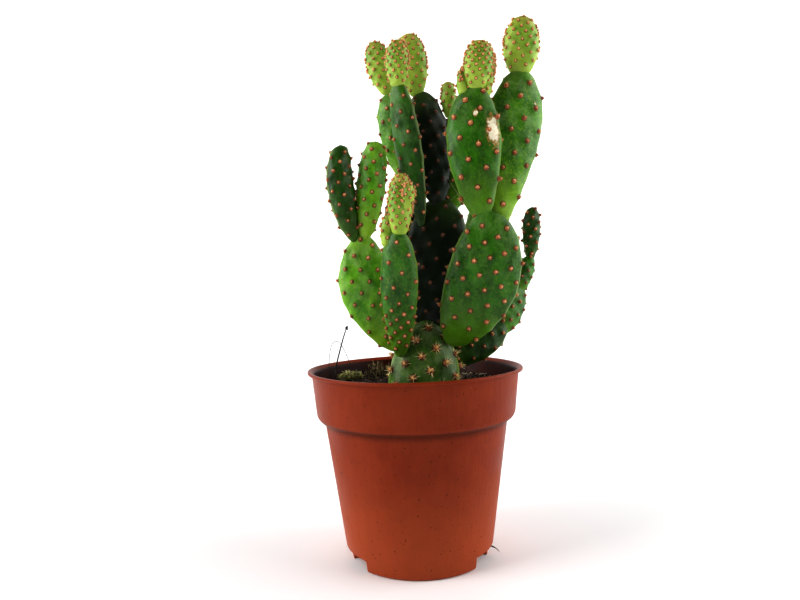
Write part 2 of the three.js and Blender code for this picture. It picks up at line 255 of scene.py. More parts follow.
def corner_cutter(inside, start, end):
    """A stretch of the pot's lower corner to cut away, from `inside` outwards, in degrees."""
    bm = bmesh.new()
    turns = [math.radians(start + (end - start) * i / CUT_STEPS) for i in range(CUT_STEPS + 1)]
    arcs = [(inside, a) for a in turns] + [(CUT_REACH, a) for a in reversed(turns)]
    outline = [bm.verts.new((r * MM * math.cos(a), r * MM * math.sin(a), -MM)) for r, a in arcs]
    foot = bm.faces.new(outline)
    raised = bmesh.ops.extrude_face_region(bm, geom=[foot], use_keep_orig=True)["geom"]
    top = [v for v in raised if isinstance(v, bmesh.types.BMVert)]
    bmesh.ops.translate(bm, vec=(0, 0, (FOOT_HEIGHT + 1) * MM), verts=top)
    bmesh.ops.recalc_face_normals(bm, faces=bm.faces)
    return new_object("cutter", finished_mesh("cutter", bm))


def cut(piece, cutter):
    """Takes the cutter's shape out of the piece, and removes the cutter."""
    step = piece.modifiers.new("cut", "BOOLEAN")
    step.object = cutter
    step.solver = "EXACT"
    bpy.context.view_layer.update()
    shaped = piece.evaluated_get(bpy.context.evaluated_depsgraph_get())
    piece.data = bpy.data.meshes.new_from_object(shaped)
    piece.modifiers.clear()
    bpy.data.objects.remove(cutter)


pot_bm = turned_body(POT_PROFILE, POT_STEPS)
for vert in pot_bm.verts:
    # The thin rim is a little out of round, as an empty pot's always is.
    rim = max(0.0, vert.co.z - COLLAR_FOOT * MM) / (POT_HEIGHT - COLLAR_FOOT) / MM
    around = math.atan2(vert.co.y, vert.co.x)
    swell = 1 - OUT_OF_ROUND * rim * (0.5 + 0.5 * math.sin(2 * around + 0.6))
    vert.co.x *= swell
    vert.co.y *= swell
    vert.co.z -= RIM_DIP * MM * rim * (0.5 + 0.5 * math.sin(3 * around + 1))
# The inside of the wall, above the feet, takes the darker inside material: partly soil stain,
# partly painted shade inside the pot.
for face in pot_bm.faces:
    middle = face.calc_center_median()
    inward = face.normal.x * middle.x + face.normal.y * middle.y < 0
    if inward and FOOT_HEIGHT * MM < middle.z < (POT_HEIGHT - 1) * MM:
        face.material_index = 1
pot_plastic = moulded_polypropylene(
    "terracotta_polypropylene", "#833114", "#a44e2a", "#2e140a", 0.05
)
pot_inside = moulded_polypropylene("soiled_and_shaded_polypropylene", "#3c1206", "#4a1a0a", "#1c0b06", 0.6)
pot_shell = make_piece("pot_shell", pot_bm, [pot_plastic, pot_inside])
for side in (0, 180):
    reach = 90 - LONG_FOOT_ANGLE
    cut(pot_shell, corner_cutter(SIDE_FOOT_RADIUS, side - reach, side + reach))
    cut(pot_shell, corner_cutter(SLOT_DEPTH_RADIUS, side + SIDE_FOOT_ANGLE, side + reach))
    cut(pot_shell, corner_cutter(SLOT_DEPTH_RADIUS, side - reach, side - SIDE_FOOT_ANGLE))
pot_shell.data.set_sharp_from_angle(angle=math.radians(50))
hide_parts("pot")

# A short pale nick in the front of the collar, where the plastic has been scored. Each burr has
# its turn past the first in radians, its height and its radius.
NICK_BURRS = [(0, 69.4, 0.22), (0.02, 69.7, 0.3), (0.045, 69.9, 0.26), (0.066, 70.2, 0.18)]
NICK_START = math.radians(-64.5)
NICK_RADIUS = 40.75  # from the pot's axis, at the collar's top
COLLAR_TOP = 71.5
COLLAR_SLOPE = 0.11
scored = moulded_polypropylene("scored_polypropylene", "#c8785a", "#e0a890", "#8a4630", 0.1)
nick_bm = bmesh.new()
for turn, height, size in NICK_BURRS:
    burr = bmesh.ops.create_icosphere(nick_bm, subdivisions=2, radius=size * MM)
    around = NICK_START + turn
    out = (NICK_RADIUS - (COLLAR_TOP - height) * COLLAR_SLOPE) * MM
    place = Matrix.Translation((out * math.cos(around), out * math.sin(around), height * MM))
    stretch = Matrix.Rotation(around, 4, "Z") @ Matrix.Diagonal((0.5, 2.2, 0.7, 1))
    bmesh.ops.transform(nick_bm, matrix=place @ stretch, verts=burr["verts"])
nick = make_piece("collar_nick", nick_bm, [scored])

# ---- Potting mix -------------------------------------------------------------------------------
# Peat-based potting mix with fine bark, pale grit and fibres. The plug is one lumpy body inside
# the pot, and loose crumbs, grit and fibres lie on its top.
soil_low, soil_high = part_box("potting_mix")
SOIL_RADIUS = soil_high.x / MM
SOIL_TOP = 65.5
SOIL_MOUND = 1.5  # how much higher the middle is
LUMP_SIZE = 6
LUMP_HEIGHT = 0.75
FINE_SIZE = 1.6
FINE_HEIGHT = 0.3
TOP_RINGS = 70
CRUMBS = 900
CRUMB_KINDS = 6
CRUMB_FLATNESS = 0.7
CRUMB_TURN = 6.28  # radians, all but a full turn
CRUMB_TIP = 0.6  # radians, to either side
GRIT = 110
SOIL_FIBRES = 170
FIBRE_RISE = 0.15  # of its length, up or down
FIBRE_BENDS = 5
STEM_PLACE = (4, -1)
STEM_CLEARANCE = 13  # no crumb lies nearer to the stem's middle


def soil_height(x, y):
    """The height of the mix's surface, in metres: a low mound with lumps and finer crumbs."""
    out = math.hypot(x, y) / (SOIL_RADIUS * MM)
    lumps = noise.fractal(Vector((x, y, 0.3)) / (LUMP_SIZE * MM), 1.0, 2.1, 3)
    fine = noise.fractal(Vector((x, y, 0.7)) / (FINE_SIZE * MM), 1.0, 2.1, 2)
    mound = SOIL_MOUND * (1 - out * out)
    return (SOIL_TOP + mound + LUMP_HEIGHT * lumps + FINE_HEIGHT * fine) * MM


def damp_peat(name, colour, dark, flecks):
    """Damp peat and bark: matt, nearly black, with brown crumbs and a few pale fibres."""
    material = new_material(name)
    place = add_node(material, "TexCoord", output="Object")
    lumps = add_node(material, "TexNoise", place, 1 / (1.3 * MM), 5, 0.7)
    flakes = add_node(material, "TexNoise", place, 1 / (0.8 * MM), 2, 0.55)
    crumbs = add_node(material, "MapRange", lumps, 0.35, 0.68, 0, 1, **SMOOTH)
    pale = add_node(material, "MapRange", flakes, 0.66, 0.74, 0, 0.7, **SMOOTH)
    tone = add_node(material, "Mix", crumbs, srgb(dark), srgb(colour), **COLOUR)
    tone = add_node(material, "Mix", pale, tone, srgb(flecks), **COLOUR)
    relief = add_node(material, "Bump", 1, 0.35 * MM, 1, crumbs)
    return finish_surface(
        material, Base_Color=tone, Roughness=0.92, Normal=relief, Specular_IOR_Level=0.15,
    )


def add_copy(bm, shape, place):
    """Adds a copy of a small mesh to bm, at that place."""
    first = len(bm.verts)
    bm.from_mesh(shape)
    bm.verts.ensure_lookup_table()
    bmesh.ops.transform(bm, matrix=place, verts=bm.verts[first:])


def rough_lump(rng):
    """A rough little lump, one unit across, to be scattered."""
    bm = bmesh.new()
    bmesh.ops.create_icosphere(bm, subdivisions=1, radius=0.5)
    for vert in bm.verts:
        vert.co *= rng.uniform(0.65, 1.15)
        vert.co.z *= CRUMB_FLATNESS
    return finished_mesh("lump", bm)


def on_soil(rng, reach=1.0, lift=0.0):
    """A random place on the mix, outside the stem."""
    while True:
        angle = rng.uniform(0, 2 * math.pi)
        out = (SOIL_RADIUS - 1) * MM * math.sqrt(rng.random()) * reach
        x, y = out * math.cos(angle), out * math.sin(angle)
        if math.hypot(x / MM - STEM_PLACE[0], y / MM - STEM_PLACE[1]) > STEM_CLEARANCE:
            return Vector((x, y, soil_height(x, y) + lift))


def scattered(name, shapes, places, sizes, rng, material):
    """Copies of the shapes at these places, each turned and sized at random, in one piece."""
    bm = bmesh.new()
    for place in places:
        size = rng.uniform(*sizes) * MM
        turn = Matrix.Rotation(rng.uniform(0, CRUMB_TURN), 4, "Z")
        turn = turn @ Matrix.Rotation(rng.uniform(-CRUMB_TIP, CRUMB_TIP), 4, "X")
        scale = Matrix.Diagonal((size, size * rng.uniform(0.6, 1), size, 1))
        add_copy(bm, rng.choice(shapes), Matrix.Translation(place) @ turn @ scale)
    return make_piece(name, bm, [material])


def strands(name, lines, radius_mm, material, roundness=1, taper=0.5):
    """Thin bendy strands along smooth lines of points, in one piece. Their ends have `taper` of
    their radius, and a roundness of 0 gives the plainest section."""
    curve = bpy.data.curves.new(name, "CURVE")
    curve.dimensions = "3D"
    curve.bevel_depth = radius_mm * MM
    curve.bevel_resolution = roundness
    curve.resolution_u = 5
    curve.use_fill_caps = True
    for line in lines:
        spline = curve.splines.new("NURBS")
        spline.points.add(len(line) - 1)
        spline.order_u = min(4, len(line))
        spline.use_endpoint_u = True
        for i, (point, place) in enumerate(zip(spline.points, line)):
            point.co = (*place, 1)
            point.radius = 1 - (1 - taper) * abs(2 * i / (len(line) - 1) - 1)
    made = new_object("strand_curve", curve)
    bpy.context.view_layer.update()
    shaped = made.evaluated_get(bpy.context.evaluated_depsgraph_get())
    mesh = bpy.data.meshes.new_from_object(shaped)
    bpy.data.objects.remove(made)
    bm = bmesh.new()
    bm.from_mesh(mesh)
    return make_piece(name, bm, [material])


def loose_line(start, length, rng):
    """The points of a fibre that lies where it fell, bending a little as it goes."""
    heading = rng.uniform(0, 2 * math.pi)
    points = [start.copy()]
    for _ in range(FIBRE_BENDS):
        heading += rng.uniform(-0.7, 0.7)
        rise = rng.uniform(-FIBRE_RISE, FIBRE_RISE)
        step = Vector((math.cos(heading), math.sin(heading), rise))
        points.append(points[-1] + step * length / FIBRE_BENDS)
    return points


# Radius and height, from the middle of the underside, up the pot's wall, to the middle of the top.
PLUG_FOOT = 25.1
PLUG_PROFILE = [
    (0, soil_low.z / MM),
    (PLUG_FOOT, soil_low.z / MM),
    (PLUG_FOOT, 6),
    (28.4, 8),
    (34.95, BODY_TOP),
    (38.05, COLLAR_FOOT),
    (SOIL_RADIUS + 0.2, SOIL_TOP),
    (0, SOIL_TOP + SOIL_MOUND),
]
rng = random.Random(3)
plug_bm = bmesh.new()
plug_corners = [plug_bm.verts.new((r * MM, 0, z * MM)) for r, z in PLUG_PROFILE]
plug_edges = [plug_bm.edges.new(pair) for pair in zip(plug_corners, plug_corners[1:])]
bmesh.ops.subdivide_edges(plug_bm, edges=[plug_edges[-1]], cuts=TOP_RINGS)
bmesh.ops.spin(
    plug_bm, geom=plug_bm.edges[:] + plug_bm.verts[:], axis=(0, 0, 1), angle=2 * math.pi,
    steps=POT_STEPS, use_merge=True,
)
bmesh.ops.remove_doubles(plug_bm, verts=plug_bm.verts, dist=0.01 * MM)
bmesh.ops.recalc_face_normals(plug_bm, faces=plug_bm.faces)
for vert in plug_bm.verts:
    if vert.co.z > (SOIL_TOP - 1) * MM:
        vert.co.z = soil_height(vert.co.x, vert.co.y)
peat = damp_peat("damp_peat", "#3b2c22", "#17110d", "#7d6a52")
plug = make_piece("soil_plug", plug_bm, [peat])
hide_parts("potting_mix")

lumps = [rough_lump(rng) for _ in range(CRUMB_KINDS)]
crumb_places = [on_soil(rng) for _ in range(CRUMBS)]
crumbs = scattered("soil_crumbs", lumps, crumb_places, (0.5, 2.0), rng, peat)
pale_grit = damp_peat("pale_grit", "#b9a686", "#6b5a45", "#e0d6c0")
grit_places = [on_soil(rng, lift=0.3 * MM) for _ in range(GRIT)]
grit = scattered("soil_grit", lumps, grit_places, (0.4, 1.3), rng, pale_grit)


def dry_fibre(name, colour, dark):
    """Dry plant fibre: dull, streaked, with darker stretches."""
    material = new_material(name)
    place = add_node(material, "TexCoord", output="Object")
    streaks = add_node(material, "TexNoise", place, 1 / (1.5 * MM), 3, 0.55)
    share = add_node(material, "MapRange", streaks, 0.35, 0.7, 0, 1, **SMOOTH)
    tone = add_node(material, "Mix", share, srgb(dark), srgb(colour), **COLOUR)
    relief = add_node(material, "Bump", 1, 0.05 * MM, 1, share)
    return finish_surface(
        material, Base_Color=tone, Roughness=0.8, Normal=relief, Specular_IOR_Level=0.3,
    )


peat_fibre = dry_fibre("peat_fibre", "#8d7350", "#3d2c1e")
fibre_lines = [
    loose_line(on_soil(rng, 0.97, 0.4 * MM), rng.uniform(3, 9) * MM, rng)
    for _ in range(SOIL_FIBRES)
]
fibres = strands("soil_fibres", fibre_lines, 0.11, peat_fibre, roundness=0)

# What grows and lies on the mix: a clump of dead twiggy growth at the left rear, pale flakes at
# the right rear, and pale hairs that stand at the stem's foot.
CLUMP_PLACE = (-15, 22)
CLUMP_CRUMBS = 60
CLUMP_HEIGHT = 3.2
FLAKE_PLACE = (29, 23)
HAIR_PLACE = (15.5, 3)
twig = dry_fibre("dead_twig", "#b0a070", "#4a3c28")
pale_flake = dry_fibre("pale_flake", "#e8dfc8", "#a8987a")


def bristling(centre, spread_mm, count, length_mm, rng, upright):
    """Lines of short growth that stands from the mix round a place, given in millimetres, from
    lying flat at an `upright` of 0 to standing straight at 1."""
    lines = []
    for _ in range(count):
        x = rng.gauss(centre[0], spread_mm[0]) * MM
        y = rng.gauss(centre[1], spread_mm[1]) * MM
        heading = rng.uniform(0, 2 * math.pi)
        reach = rng.uniform(*length_mm) * MM
        lean = rng.uniform(0.2, 1) * (1 - upright)
        start = Vector((x, y, soil_height(x, y) - 0.3 * MM))
        ahead = Vector((math.cos(heading) * lean, math.sin(heading) * lean, upright + 0.15))
        kink = Vector((rng.uniform(-0.2, 0.2), rng.uniform(-0.2, 0.2), 0)) * reach
        lines.append([start, start + ahead * reach * 0.5 + kink, start + ahead * reach])
    return lines


clump_lines = bristling(CLUMP_PLACE, (2.6, 2.4), 90, (2.5, 8), rng, 0.75)
clump = strands("twiggy_clump", clump_lines, 0.17, twig, roundness=0)
clump_places = []
for _ in range(CLUMP_CRUMBS):
    x = rng.gauss(CLUMP_PLACE[0], 2.8) * MM
    y = rng.gauss(CLUMP_PLACE[1], 2.5) * MM
    clump_places.append(Vector((x, y, soil_height(x, y) + rng.uniform(0, CLUMP_HEIGHT) * MM)))
clump_crumbs = scattered("clump_crumbs", lumps, clump_places, (0.8, 2.2), rng, peat)
flake_lines = bristling(FLAKE_PLACE, (5, 2.2), 46, (1.5, 4.5), rng, 0.12)
flakes = strands("pale_flakes", flake_lines, 0.28, pale_flake, roundness=0, taper=0.3)
hair_lines = bristling(HAIR_PLACE, (2.2, 1.6), 26, (1.5, 4), rng, 0.5)
hairs = strands("stem_foot_hairs", hair_lines, 0.09, pale_flake, roundness=0)

# ---- Roots -------------------------------------------------------------------------------------
# The taproot and side roots stay as the frame has them, hidden in the mix, with a bark of their
# own. One wisp of fine root has grown out of the drain slot at the front right.
root_bark = dry_fibre("root_bark", "#b39672", "#7a6247")
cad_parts["roots"].data.materials.clear()
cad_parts["roots"].data.materials.append(root_bark)

ROOT_HAIRS = 7
HAIR_STEPS = 5
HAIR_DROP = 1.2  # at its tip
HAIR_DRIFT = 0.6  # towards the back, at its tip
wisp_low, wisp_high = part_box("root_wisp")
wisp_start = Vector((wisp_low.x, wisp_low.y + 0.5 * MM, wisp_low.z + 1 * MM))
wisp_size = wisp_high - wisp_low
wisp_lines = []
for _ in range(ROOT_HAIRS):
    end = rng.uniform(0.55, 1.0)
    line = [wisp_start.copy()]
    for i in range(1, HAIR_STEPS + 1):
        along = end * i / HAIR_STEPS
        arch = math.sin(math.pi * along) * wisp_size.z * rng.uniform(0.5, 0.9)
        stray = rng.uniform(-0.35, 0.35) * MM
        x = wisp_low.x + along * wisp_size.x
        y = wisp_start.y + stray + along * HAIR_DRIFT * MM
        line.append(Vector((x, y, wisp_start.z + arch - along * along * HAIR_DROP * MM)))
    wisp_lines.append(line)
wisp_bark = dry_fibre("dark_root_hair", "#5d4a36", "#2e241b")
wisp = strands("root_hairs", wisp_lines, 0.13, wisp_bark)
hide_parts("root_wisp")

# ---- Pads --------------------------------------------------------------------------------------
# The stem segments: flat, fleshy, waxy-skinned pads, each grown from an older one's rim. Every
# pad is a sphere drawn out through the sections measured on its own solid, with a low mound under
# each areole. Its areoles stand in the spirals in which they grow.
ROUND = 88
RINGS = 72
BURIED = 1.2 * MM  # how far a pad's closed base reaches into the pad that carries it
SECTIONS = 26
FIRST_SECTION = 0.42  # radians of a half turn from base to tip, so that they crowd at the ends
LAST_SECTION = 0.955 * math.pi
LINE_FROM = 0.3  # of a pad's length: the middle line is fitted above its neck
FOOT_SHARE = 0.12  # of a pad's length, over which its base closes to the joint
AREOLES_FROM = 0.05  # of a pad's length, as the next three are
AREOLES_TO = 0.995
WIDER_FROM = 0.3  # the areoles' spacing changes from here
WIDER_OVER = 0.35
AREOLE_STEPS = 400
GIRTH_STEPS = 121
GOLDEN_TURN = 0.381966
PACKING = 0.87  # the area of an areole's place, over its spacing squared
MOUND_RADIUS = 0.9  # of the tuft's width
OTHER_FACE = 0.2  # skin whose direction agrees less than this with an areole's is on the other face
OTHER_FACE_AWAY = 3  # how much further off that areole counts as being
SKIN_WAVE = 0.25  # how uneven the skin is
WAVE_SIZE = 9
UNHURT = 9.0  # how far, in half widths of a wound, the skin without one is from it


class PadForm:
    """A pad's own axes and outline, measured on its CAD solid."""

    def __init__(self, node):
        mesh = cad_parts[node].data
        corners = np.array([v.co for v in mesh.vertices])
        ends = np.array([e.vertices for e in mesh.edges])
        faces = np.array([[corners[i] for i in t.vertices] for t in mesh.polygons])
        crossed = np.cross(faces[:, 1] - faces[:, 0], faces[:, 2] - faces[:, 0])
        areas = np.linalg.norm(crossed, axis=1)
        centres = faces.mean(axis=1)
        middle = np.average(centres, axis=0, weights=areas)
        spread_of = np.cov((centres - middle).T, aweights=areas)
        axes = np.linalg.eigh(spread_of)[1]
        self.along = axes[:, 2] * math.copysign(1, axes[2, 2])
        self.face = axes[:, 0] * -math.copysign(1, axes[1, 0])
        self.side = np.cross(self.along, self.face)
        reach = (corners - middle) @ self.along
        self.length = reach.max() - reach.min()
        self.start = middle + self.along * reach.min()
        self.root = -BURIED / self.length
        self._measure(corners, ends)

    def _measure(self, corners, ends):
        """The middle line and the half width and thickness, from plane sections of the solid."""
        local = corners - self.start
        height = local @ self.along / self.length
        flat = np.stack([local @ self.side, local @ self.face], axis=1)
        turns = np.linspace(FIRST_SECTION, LAST_SECTION, SECTIONS)
        self.stations = 0.5 - 0.5 * np.cos(turns)
        lows, highs = [], []
        for s in self.stations:
            a, b = height[ends[:, 0]], height[ends[:, 1]]
            cut_edges = (a - s) * (b - s) < 0
            share = ((s - a) / (b - a + 1e-12))[cut_edges, None]
            first, second = flat[ends[cut_edges, 0]], flat[ends[cut_edges, 1]]
            section = first + (second - first) * share
            lows.append(section.min(axis=0))
            highs.append(section.max(axis=0))
        lows, highs = np.array(lows), np.array(highs)
        whole = self.stations > LINE_FROM
        middles = (lows + highs)[whole] / 2
        self.bend = np.polyfit(self.stations[whole], middles, 2)
        line = self.middle(self.stations)
        self.half = np.maximum(highs - line, line - lows)
        for _ in range(2):
            self.half[1:-1] = (self.half[:-2] + 2 * self.half[1:-1] + self.half[2:]) / 4

    def middle(self, s):
        """The middle line's place across and out, at s along the pad."""
        s = np.asarray(s)[..., None]
        return self.bend[0] * s * s + self.bend[1] * s + self.bend[2]

    def halves(self, s):
        """Half the width and half the thickness at s, closing to a round end at both ends."""
        s = np.asarray(s)
        last = self.stations[-1]
        tip = np.sqrt(np.clip((1 - s) / (1 - last), 0, 1))
        foot = np.sqrt(1 - np.clip(1 - (s - self.root) / FOOT_SHARE, 0, 1) ** 2)
        wide = np.interp(s, self.stations, self.half[:, 0]) * tip * foot
        thick = np.interp(s, self.stations, self.half[:, 1]) * tip * foot
        return wide, thick

    def point(self, s, angle):
        """The skin at s along the pad and that angle round it, from +side towards the face."""
        wide, thick = self.halves(s)
        middle = self.middle(s)
        across = middle[..., 0] + wide * np.cos(angle)
        out = middle[..., 1] + thick * np.sin(angle)
        ahead = np.asarray(s) * self.length
        return (
            self.start + ahead[..., None] * self.along
            + across[..., None] * self.side + out[..., None] * self.face
        )

    def normal(self, s, angle):
        """The direction out of the skin at that place."""
        d = 1e-3
        up = self.point(min(s + d, 0.9995), angle) - self.point(s - d, angle)
        turn = self.point(s, angle + d) - self.point(s, angle - d)
        n = np.cross(up, turn)
        return n / np.linalg.norm(n)

    def areoles(self, low_mm, high_mm, phase):
        """Areoles in growth spirals, `low_mm` apart near the base and `high_mm` near the tip."""
        s = np.linspace(AREOLES_FROM, AREOLES_TO, AREOLE_STEPS)
        wide, thick = self.halves(s)
        girth = math.pi * (3 * (wide + thick) - np.sqrt((3 * wide + thick) * (wide + 3 * thick)))
        apart = low_mm + (high_mm - low_mm) * np.clip((s - WIDER_FROM) / WIDER_OVER, 0, 1)
        density = girth / (PACKING * (apart * MM) ** 2)
        count = np.concatenate([[0], np.cumsum((density[1:] + density[:-1]) / 2 * np.diff(s))])
        count *= self.length
        spots = []
        for i in range(int(count[-1])):
            at = float(np.interp(i + 0.5, count, s))
            angles = np.linspace(0, 2 * math.pi, GIRTH_STEPS)
            ring = self.point(np.full(GIRTH_STEPS, at), angles)
            walk = np.concatenate([[0], np.cumsum(np.linalg.norm(np.diff(ring, axis=0), axis=1))])
            turn = ((i * GOLDEN_TURN + phase) % 1) * walk[-1]
            spots.append((at, float(np.interp(turn, walk, angles))))
        return spots


def cactus_skin(name, deep, mid, light, bloom_and_sheen, bloom_and_sheen_share, tip, tip_share):
    """Living cactus skin: a thin waxy cuticle over green flesh. It is satin and mottled, and paler
    and yellower near the base of each pad. A thin pale line along its rim is partly a corky edge
    and partly a painted rim highlight. Near the top it is powdery blue-grey where the wax is thick,
    partly waxy bloom and partly a painted sheen. A ring round each areole is partly rust-brown and
    partly painted shade round its raised cushion, and healed wounds are corky."""
    material = new_material(name)
    along, rim, near, scar = [
        add_node(material, "Attribute", output="Fac", attribute_name=word)
        for word in ("along", "rim", "near_areole", "scar")
    ]
    place = add_node(material, "TexCoord", output="Object")
    long_grain = add_node(material, "Mapping", place, UNMOVED, UNMOVED, (1, 1, 0.6))
    clouds = add_node(material, "TexNoise", long_grain, 1 / (6 * MM), 6, 0.66)
    wax = add_node(material, "TexNoise", long_grain, 1 / (4.5 * MM), 7, 0.78)
    freckles = add_node(material, "TexNoise", place, 1 / (1.1 * MM), 3, 0.6)
    pores = add_node(material, "TexNoise", place, 1 / (0.5 * MM), 3, 0.55)
    dents = add_node(material, "TexNoise", long_grain, 1 / (3.5 * MM), 2, 0.55)
    corky = add_node(material, "TexNoise", place, 1 / (1.7 * MM), 2, 0.55)
    ragged = add_node(material, "TexNoise", place, 1 / (1.3 * MM), 3, 0.55)

    cloudy = add_node(material, "MapRange", clouds, 0.36, 0.64, 0, 1, **SMOOTH)
    base = add_node(material, "Mix", cloudy, srgb(deep), srgb(mid), **COLOUR)
    lower = add_node(material, "MapRange", along, 0.45, 0.0, 0, 0.5, **SMOOTH)
    base = add_node(material, "Mix", lower, base, srgb(light), **COLOUR)
    freckled = add_node(material, "MapRange", freckles, 0.45, 0.75, 0, 0.38, **SMOOTH)
    base = add_node(material, "Mix", freckled, base, srgb(light), **COLOUR)
    # Powdery blue-grey, more towards the top: partly waxy bloom, partly painted sheen where light
    # falls on the top of each pad.
    powder = add_node(material, "MapRange", wax, 0.42, 0.66, 0, bloom_and_sheen_share, **SMOOTH)
    upper_bloom_and_sheen = add_node(material, "MapRange", along, 0.35, 0.95, 0.4, 1, **SMOOTH)
    waxy = add_node(material, "Math", powder, upper_bloom_and_sheen, **TIMES)
    base = add_node(material, "Mix", waxy, base, srgb(bloom_and_sheen), **COLOUR)
    topped = add_node(material, "MapRange", along, 0.72, 1.0, 0, tip_share, **SMOOTH)
    base = add_node(material, "Mix", topped, base, srgb(tip), **COLOUR)
    # A thin pale line along the rim: partly a corky edge, partly painted rim highlight.
    edge = add_node(material, "MapRange", rim, 0.93, 0.998, 0, 0.3, **SMOOTH)
    base = add_node(material, "Mix", edge, base, srgb("#a6b552"), **COLOUR)
    cork = add_node(material, "MapRange", corky, 0.7, 0.75, 0, 0.5, **SMOOTH)
    base = add_node(material, "Mix", cork, base, srgb("#9a8a4a"), **COLOUR)
    # A rust-brown ring round each areole: partly its colour, partly painted shade round the raised
    # cushion.
    ring = add_node(material, "MapRange", near, 0.62, 0.42, 0, 0.8, **SMOOTH)
    base = add_node(material, "Mix", ring, base, srgb("#5e2c12"), **COLOUR)

    uneven = add_node(material, "MapRange", ragged, 0.2, 0.8, -0.3, 0.3)
    torn = add_node(material, "Math", scar, uneven, operation="ADD")
    lips = add_node(material, "MapRange", torn, 0.86, 0.66, 0, 0.7, **SMOOTH)
    base = add_node(material, "Mix", lips, base, srgb("#b98a4a"), **COLOUR)
    healed = add_node(material, "MapRange", torn, 0.66, 0.5, 0, 1, **SMOOTH)
    dry = add_node(material, "Mix", freckled, srgb("#f3ecd2"), srgb("#c9a468"), **COLOUR)
    base = add_node(material, "Mix", healed, base, dry, **COLOUR)

    rough = add_node(material, "MapRange", waxy, 0.0, 0.6, 0.4, 0.62, **SMOOTH)
    relief = add_node(material, "Bump", 1, 0.06 * MM, 1, pores)
    relief = add_node(material, "Bump", 1, 0.14 * MM, 1, dents, relief)
    relief = add_node(material, "Bump", 1, -0.15 * MM, 1, healed, relief)
    return finish_surface(
        material, Base_Color=base, Roughness=rough, Normal=relief, IOR=1.45,
        Specular_IOR_Level=0.38, Subsurface_Weight=0.06, Subsurface_Radius=(0.5, 1.0, 0.25),
        Subsurface_Scale=1.2 * MM,
    )


def make_pad(node, form, spots, mound_mm, tuft_mm, skin, scars):
    """The pad's skin: a sphere drawn out through the pad's sections, with its mounds. It carries
    how far along the pad, how near the rim, an areole or a wound each place is."""
    bm = bmesh.new()
    bmesh.ops.create_uvsphere(bm, u_segments=ROUND, v_segments=RINGS, radius=1)
    unit = np.array([v.co for v in bm.verts])
    s = form.root + (1 - form.root) * (0.5 - 0.5 * np.cos(np.arccos(np.clip(-unit[:, 2], -1, 1))))
    angle = np.arctan2(unit[:, 1], unit[:, 0])
    places = form.point(s, angle)
    for vert, place in zip(bm.verts, places):
        vert.co = place
    bm.normal_update()
    bmesh.ops.recalc_face_normals(bm, faces=bm.faces)
    bm.normal_update()
    normals = np.array([v.normal for v in bm.verts])
    centres = np.array([form.point(*spot) for spot in spots])
    facing = np.array([form.normal(*spot) for spot in spots])
    away = np.linalg.norm(places[:, None] - centres[None], axis=2)
    away += OTHER_FACE_AWAY * MM * (normals @ facing.T < OTHER_FACE)
    nearest = away.min(axis=1)
    swell = mound_mm * MM * np.exp(-((nearest / (MOUND_RADIUS * tuft_mm * MM)) ** 2))
    wave = [SKIN_WAVE * MM * noise.noise(Vector(place) / (WAVE_SIZE * MM)) for place in places]
    for vert, normal, lift, uneven in zip(bm.verts, normals, swell, wave):
        vert.co += Vector(normal) * (lift + uneven)
    wound = np.full(len(places), UNHURT)
    for at, across, long_mm, wide_mm, seen in scars:
        turn = seen * math.acos(across)
        centre = form.point(at, turn)
        offset = places - centre
        up = offset @ form.along / (long_mm * MM)
        over = (offset - np.outer(offset @ form.along, form.along)) / (wide_mm * MM)
        wound = np.minimum(wound, np.sqrt(up ** 2 + (over ** 2).sum(axis=1)))
    piece = make_piece(node + "_skin", bm, [skin])
    values = {
        "along": np.clip(s, 0, 1),
        "rim": np.abs(np.cos(angle)),
        "near_areole": nearest / (tuft_mm * MM),
        "scar": wound,
    }
    for word, numbers in values.items():
        piece.data.attributes.new(word, "FLOAT", "POINT").data.foreach_set("value", numbers)
    return piece


TUFT_KINDS = 6
CUSHION_RADIUS = 0.36  # of a tuft's width, as the next two are
CUSHION_CROWN = 0.26  # the felt is darker below this height: partly rust felt, partly painted shade
BRISTLE_FOOT = 0.25


def areole_tuft(bristles, length, rng, spread_out):
    """An areole's tuft, one unit wide: a felted cushion with short barbed glochids round its
    crown, which lean out by up to `spread_out` radians."""
    bm = bmesh.new()
    bmesh.ops.create_uvsphere(bm, u_segments=8, v_segments=6, radius=CUSHION_RADIUS)
    bmesh.ops.scale(bm, vec=(1, 1, 0.9), verts=bm.verts)
    for vert in bm.verts:
        vert.co *= rng.uniform(0.9, 1.1)
    for face in bm.faces:
        face.material_index = 2 if face.calc_center_median().z < CUSHION_CROWN else 0
    for _ in range(bristles):
        size = rng.uniform(*length)
        bristle = bmesh.ops.create_cone(bm, segments=3, radius1=0.045, radius2=0.012, depth=size)
        lean = Matrix.Rotation(rng.uniform(0, spread_out), 4, "Y")
        turn = Matrix.Rotation(rng.uniform(0, 2 * math.pi), 4, "Z")
        tilt = turn @ lean @ Matrix.Translation((0, 0, BRISTLE_FOOT + size / 2))
        bmesh.ops.transform(bm, matrix=tilt, verts=bristle["verts"])
        for vert in bristle["verts"]:
            for face in vert.link_faces:
                face.material_index = 1
    return finished_mesh("tuft", bm)


def bristle_felt(name, pale, dark, rough):
    """Areole felt and glochids: dry, barbed hairs that scatter light, tan to fox red."""
    material = new_material(name)
    place = add_node(material, "TexCoord", output="Object")
    patch = add_node(material, "TexNoise", place, 1 / (6 * MM), 2, 0.55)
    speckle = add_node(material, "TexNoise", place, 1 / (0.35 * MM), 2, 0.55)
    both = add_node(material, "Math", patch, speckle, operation="ADD")
    share = add_node(material, "MapRange", both, 0.75, 1.25, 0, 1, **SMOOTH)
    tone = add_node(material, "Mix", share, srgb(dark), srgb(pale), **COLOUR)
    return finish_surface(
        material, Base_Color=tone, Roughness=rough, Sheen_Weight=0.3, Sheen_Roughness=0.5,
    )
